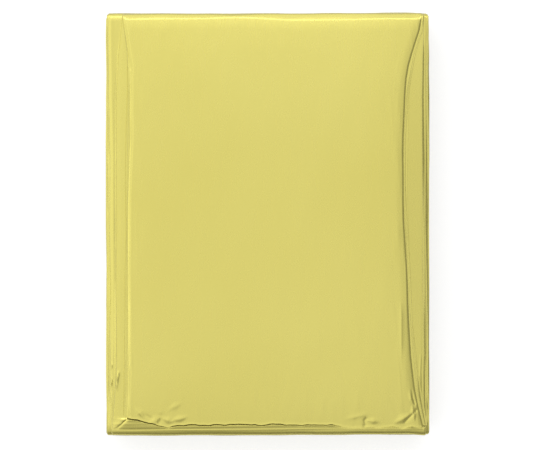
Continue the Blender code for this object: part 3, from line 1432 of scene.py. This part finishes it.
    def margin_rise(self, cut: np.ndarray, points: np.ndarray) -> np.ndarray:
        """How far the top ply of a lower layer rises beside the layer above it.

        Args:
            cut: The points' places on the flat sheet.
            points: Their places in the settled block.

        Returns:
            The rise of each point above its settled place.
        """
        sheet = self.block.sheet
        _, _, layer, along = self.panel_of(cut)
        x, y, _ = points.T
        to_front = np.where(layer % 2 == 0, along, sheet.layer_length - along) - sheet.layer_round
        left, right = self.from_sides(cut)
        place = layer - (sheet.layers - 4)
        shoulder, lift = np.array(self.margin_shoulders)[place], np.array(self.margin_lifts)[place]
        beyond = np.maximum(left - shoulder, 0)
        level = lift * np.clip(left / shoulder, 0, 1) - np.array(self.margin_falls)[place] * beyond
        near = 1 - eased((to_front - self.hip_reach) / self.hip_fade)
        hip = self.hip_slope * beyond * near * (layer == sheet.layers - 2)
        level = np.maximum(level, self.margin_low) + hip
        slope = self.right_slope * np.maximum(right - self.right_flat, 0)
        level = np.minimum(level, self.margin_least + self.margin_slope * right + slope)
        slope = self.front_slope * np.maximum(to_front - np.array(self.front_flats)[place], 0)
        level = np.minimum(level, self.margin_least + self.margin_slope * to_front + slope)
        ahead = self.block.edge_line(x) - sheet.layer_length / 2 - y - self.groove_start
        groove = self.groove_share * (1 - eased(ahead / self.groove_width))
        level *= np.where(layer == sheet.layers - 2, 1 - groove, 1.0)
        rise = np.minimum(level, self.highest)
        wave, drawn = self.streak_wave
        streaks = np.clip(Drift(24, wave, 3).field(x * drawn, y), -1, 1)
        rise += self.streak * streaks * (to_front < self.streak_reach)
        rise += self.creased(MARGIN_CREASES, x, y) + self.puckered(MARGIN_PUCKERS, x, y)
        border = np.clip(left / self.border, 0, 1) * eased(np.minimum(right, to_front) / self.border)
        return np.clip(rise, np.minimum(self.margin_least, level), self.peak) * border


class Patch(NamedTuple):
    """A part of the film's map, divided into equal cells.

    Its corner, the size of a cell, how many cells are in a row, and the share of a cell that
    each fold at its sides and at its ends takes up.
    """

    corner: tuple[float, float]
    cell: tuple[float, float]
    in_row: int
    folds: tuple[float, float]


@dataclass(frozen=True)
class FilmMap:
    """A flat map of the film, on which its finish can be kept.

    Each ply of each layer has a cell of its own. The one on top of the block has the largest,
    and those that show beside it have larger ones than those inside. The faces of the rim have
    tiny cells, which lie on those that the shown plies leave over.
    """

    sheet: CutSheet
    name: str = "OFBake"
    top: Patch = Patch((0.0, 0.0), (0.60, 0.77), 1, (0.01, 0.03))
    shown: Patch = Patch((0.61, 0.0), (0.078, 0.0965), 5, (0.05, 0.12))
    inner: Patch = Patch((0.61, 0.49), (0.0278, 0.0268), 14, (0.12, 0.12))
    silver: Patch = Patch((0.0, 0.78), (0.0214, 0.0199), 28, (0.12, 0.12))
    rim: Patch = Patch((0.846, 0.388), (0.0025, 0.0022), 60, (0.0, 0.0))
    gap: float = 0.03

    def lay_out(self, mesh: bpy.types.Mesh) -> None:
        """Adds the map to the mesh of the thick film.

        Args:
            mesh: The film, with its gold faces first, then its silver ones, then its rim.
        """
        sheet = self.sheet
        count = len(mesh.polygons)
        corners = np.empty(len(mesh.loops), np.int32)
        mesh.loops.foreach_get("vertex_index", corners)
        totals, starts, finish = (np.empty(count, np.int32) for _ in range(3))
        mesh.polygons.foreach_get("loop_total", totals)
        mesh.polygons.foreach_get("loop_start", starts)
        mesh.polygons.foreach_get("material_index", finish)
        face = np.repeat(np.arange(count), totals)
        panel = np.array([sheet.pleat_width, sheet.layer_length])
        places = cut_of(mesh)[corners] / panel
        middles = np.stack([np.bincount(face, places[:, way]) for way in (0, 1)], axis=1) / totals[:, None]
        number = np.clip(middles.astype(int), 0, [2 * sheet.pleats - 1, sheet.layers - 1])
        share = np.clip(places - number[face], 0, 1)

        ply, layer = number.T
        silver = finish == FilmFace.SILVER.value
        # A face of the rim has no width on the sheet, so its four corners go to its cell's own.
        rim = np.arange(count) >= 2 * np.count_nonzero(silver)
        turn = np.arange(len(corners)) - starts[face]
        square = np.stack([np.isin(turn, (1, 2)), np.isin(turn, (2, 3))], axis=1)
        share[rim[face]] = square[rim[face]]
        outer = (ply == 0) | (ply == sheet.pleats - 1)
        top = (ply == 0) & (layer == sheet.layers - 1)
        kinds = [rim, silver, top, outer]
        kind = np.select(kinds, range(len(kinds)), len(kinds))
        cell = np.where(rim, np.arange(count), ply * sheet.layers + layer)
        spots = np.empty((len(corners), 2))
        for which, patch in enumerate((self.rim, self.silver, self.top, self.shown, self.inner)):
            here = kind[face] == which
            rank = np.unique(cell[face[here]], return_inverse=True)[1]
            place = np.stack([rank % patch.in_row, rank // patch.in_row], axis=1)
            ways = [self.spread(share[here, way], way, patch.folds[way]) for way in (0, 1)]
            inside = np.stack(ways, axis=1)
            spots[here] = patch.corner + (place + self.gap + inside * (1 - 2 * self.gap)) * patch.cell
        layout = mesh.uv_layers.new(name=self.name)
        layout.data.foreach_set("uv", spots.astype(np.float32).ravel())

    def spread(self, share: np.ndarray, way: int, fold: float) -> np.ndarray:
        """Places along a panel, with the folds at its two ends spread out on the map.

        Args:
            share: The places, as shares of the panel.
            way: 0 along a ply's width, 1 along a layer's length.
            fold: The share of the map's cell that each fold is given.

        Returns:
            The places in the cell.
        """
        sheet = self.sheet
        film = (sheet.pleat_round / sheet.pleat_width, sheet.layer_round / sheet.layer_length)[way]
        if not fold:
            return share
        return np.interp(share, [0.0, film, 1 - film, 1.0], [0.0, fold, 1 - fold, 1.0])


@dataclass
class FoldedBlanket:
    """The one piece: the sheet, folded, settled, given its thickness and dressed.

    An edge turned by more than the sharpest angle, in degrees, isn't smoothed.
    """

    sheet: CutSheet
    block: PressedBlock
    shown: ShownFilm
    name: str = "foil_blanket"
    sharpest: float = 42.0

    def thicken(self, mesh: bpy.types.Mesh) -> bpy.types.Mesh:
        """Gives the film its thickness, with its silver face behind the gold one.

        Args:
            mesh: The gold face.

        Returns:
            A new mesh of the film, with its edges closed.
        """
        work = bpy.data.objects.new("film", mesh)
        bpy.context.scene.collection.objects.link(work)
        solidify = work.modifiers.new("Film", "SOLIDIFY")
        solidify.thickness = self.block.film
        solidify.offset = 0.0
        solidify.material_offset = FilmFace.SILVER.value
        solidify.material_offset_rim = FilmFace.GOLD.value
        return evaluated_mesh(work)

    def make(self, gold: bpy.types.Material, silver: bpy.types.Material) -> bpy.types.Object:
        """Builds the blanket.

        Args:
            gold: The finish of the face that is folded outwards.
            silver: The finish of the other face.

        Returns:
            The finished piece.
        """
        mesh = self.sheet.fold(self.sheet.flat_mesh(), gold)
        mesh.materials.clear()
        mesh.materials.append(gold)
        mesh.materials.append(silver)
        self.block.settle(mesh)
        self.shown.refine(mesh)
        self.shown.work_out(mesh)
        thick = self.thicken(mesh)
        thick.name = self.name
        thick.shade_smooth()
        thick.set_sharp_from_angle(angle=math.radians(self.sharpest))
        FilmMap(self.sheet).lay_out(thick)
        blanket = bpy.data.objects.new(self.name, thick)
        bpy.context.scene.collection.objects.link(blanket)
        triangles = sum(len(face.vertices) - 2 for face in thick.polygons)
        LOG.info("blanket: %d points, %d triangles", len(thick.vertices), triangles)
        return blanket


class Panel(NamedTuple):
    """A brighter or a darker side of the sky: its way, where it starts, its soft edge and its gain.

    The start and the edge are on the cosine of the angle from the way that it lies.
    """

    way: tuple[float, float, float]
    start: float
    edge: float
    gain: float


class Softbox(NamedTuple):
    """A soft light turned to the block: its name, its middle, its length and width, and its glow.

    The glow is how bright its face looks, where 1 is white.
    """

    name: str
    place: tuple[float, float, float]
    size: tuple[float, float]
    glow: float


@dataclass
class Studio:
    """The pale floor, the soft lights, the sky and the camera straight above.

    The camera sees the floor lit in its shade, with its glow on top, so the block's shadow on
    it is faint. The film reflects it as a plain page.
    """

    camera_height: float = 0.4207
    lens: float = 100.0
    sensor: float = 36.0
    nearest: float = 0.01
    aim: tuple[float, float] = (0.00069, -0.00014)
    softboxes: tuple[Softbox, ...] = (
        Softbox("overhead", (-0.1, 0.08, 1.0), (1.3, 1.3), 0.29),
        Softbox("left strip", (-1.1, 0.1, 0.55), (1.6, 0.28), 0.6),
        Softbox("back strip", (0.1, 0.80, 0.95), (1.6, 0.16), 2.4),
    )
    sky: float = 0.74
    panels: tuple[Panel, ...] = (
        Panel((-1.0, 0.0, 0.0), 0.22, 0.25, 0.32),
        Panel((1.0, 0.0, 0.0), 0.11, 0.30, -0.31),
        Panel((0.0, 1.0, 0.0), 0.12, 0.30, 0.25),
        Panel((0.0, 1.0, 0.0), 0.55, 0.25, 0.30),
        Panel((0.0, -1.0, 0.0), 0.18, 0.25, -0.24),
        Panel((0.0, -0.93, 0.37), 0.90, 0.07, -0.45),
        Panel((0.93, 0.0, 0.37), 0.90, 0.07, -0.30),
    )
    floor_side: float = 6.0
    floor_glow: float = 0.66
    floor_shade: float = 0.50
    floor_page: float = 0.85

    def build(self) -> None:
        """Sets the whole stage."""
        self.floor()
        for softbox in self.softboxes:
            self.hang(softbox)
        self.world()
        self.camera()

    def floor(self) -> None:
        """A plain pale floor under the part."""
        mesh = bpy.data.meshes.new("floor")
        sheet = bmesh.new()
        bmesh.ops.create_grid(sheet, x_segments=1, y_segments=1, size=self.floor_side / 2)
        sheet.to_mesh(mesh)
        sheet.free()
        material, graph = new_material("Pale floor")
        page = graph.add("ShaderNodeBsdfDiffuse", None, {"Color": (*(self.floor_page,) * 3, 1.0)})
        shaded = graph.add("ShaderNodeBsdfDiffuse", None, {"Color": (*(self.floor_shade,) * 3, 1.0)})
        glow = graph.add("ShaderNodeEmission", None, {"Strength": self.floor_glow})
        lit = graph.add("ShaderNodeAddShader", None, {0: shaded.outputs[0], 1: glow.outputs[0]})
        seen = graph.add("ShaderNodeLightPath").outputs["Is Camera Ray"]
        mixed = graph.add("ShaderNodeMixShader", None, {0: seen, 1: page.outputs[0], 2: lit.outputs[0]})
        graph.add("ShaderNodeOutputMaterial", None, {"Surface": mixed.outputs["Shader"]})
        mesh.materials.append(material)
        floor = bpy.data.objects.new("floor", mesh)
        bpy.context.scene.collection.objects.link(floor)

    def hang(self, softbox: Softbox) -> None:
        """Sets up one soft light.

        Args:
            softbox: The light, from the table.
        """
        lamp = bpy.data.lights.new(softbox.name, "AREA")
        lamp.shape = "RECTANGLE"
        lamp.size, lamp.size_y = softbox.size
        lamp.energy = softbox.glow * math.pi * softbox.size[0] * softbox.size[1]
        box = bpy.data.objects.new(softbox.name, lamp)
        box.location = softbox.place
        box.rotation_euler = Vector(softbox.place).to_track_quat("Z", "Y").to_euler()
        bpy.context.scene.collection.objects.link(box)

    def world(self) -> None:
        """A soft sky with its brighter and darker sides, seen by the camera as a white backdrop."""
        world = bpy.data.worlds.new("Studio")
        world.use_nodes = True
        world.node_tree.nodes.clear()
        graph = Graph(world.node_tree)
        way = graph.add("ShaderNodeTexCoord").outputs["Generated"]
        glow = Number(graph, graph.add("ShaderNodeValue").outputs[0])
        glow.socket.default_value = self.sky
        for panel in self.panels:
            facing = graph.add("ShaderNodeVectorMath", {"operation": "DOT_PRODUCT"}, {0: way, 1: panel.way})
            share = ((graph.number(facing, "Value") - panel.start) / panel.edge).within(0.0, 1.0)
            glow = glow * (1.0 + share * panel.gain)
        sky = graph.add("ShaderNodeBackground", None, {"Color": (1, 1, 1, 1), "Strength": glow})
        backdrop = graph.add("ShaderNodeBackground", None, {"Color": (1, 1, 1, 1)})
        seen = graph.add("ShaderNodeLightPath").outputs["Is Camera Ray"]
        mixed = graph.add(
            "ShaderNodeMixShader",
            None,
            {0: seen, 1: sky.outputs["Background"], 2: backdrop.outputs["Background"]},
        )
        graph.add("ShaderNodeOutputWorld", None, {"Surface": mixed.outputs["Shader"]})
        bpy.context.scene.world = world
        bpy.context.scene.view_settings.view_transform = "Standard"

    def camera(self) -> None:
        """The camera straight above the block, with the block's back at the top of the picture."""
        data = bpy.data.cameras.new("camera")
        data.lens = self.lens
        data.sensor_width = self.sensor
        data.clip_start = self.nearest
        camera = bpy.data.objects.new("camera", data)
        camera.location = (*self.aim, self.camera_height)
        bpy.context.scene.collection.objects.link(camera)
        bpy.context.scene.camera = camera


def main() -> None:
    """Builds the blanket and its stage, hides the foil sheet from the model and hangs the blanket on its
    body.
    """
    logging.basicConfig(level=logging.INFO, format="%(name)s: %(message)s")
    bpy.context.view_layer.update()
    Studio().build()
    sheet = CutSheet()
    block = PressedBlock(sheet)
    blanket = FoldedBlanket(sheet, block, ShownFilm(block)).make(GoldFilm().make(), SilverFilm().make())
    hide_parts(SOLID)
    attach(blanket, BODY)


if __name__ == "__main__":
    main()
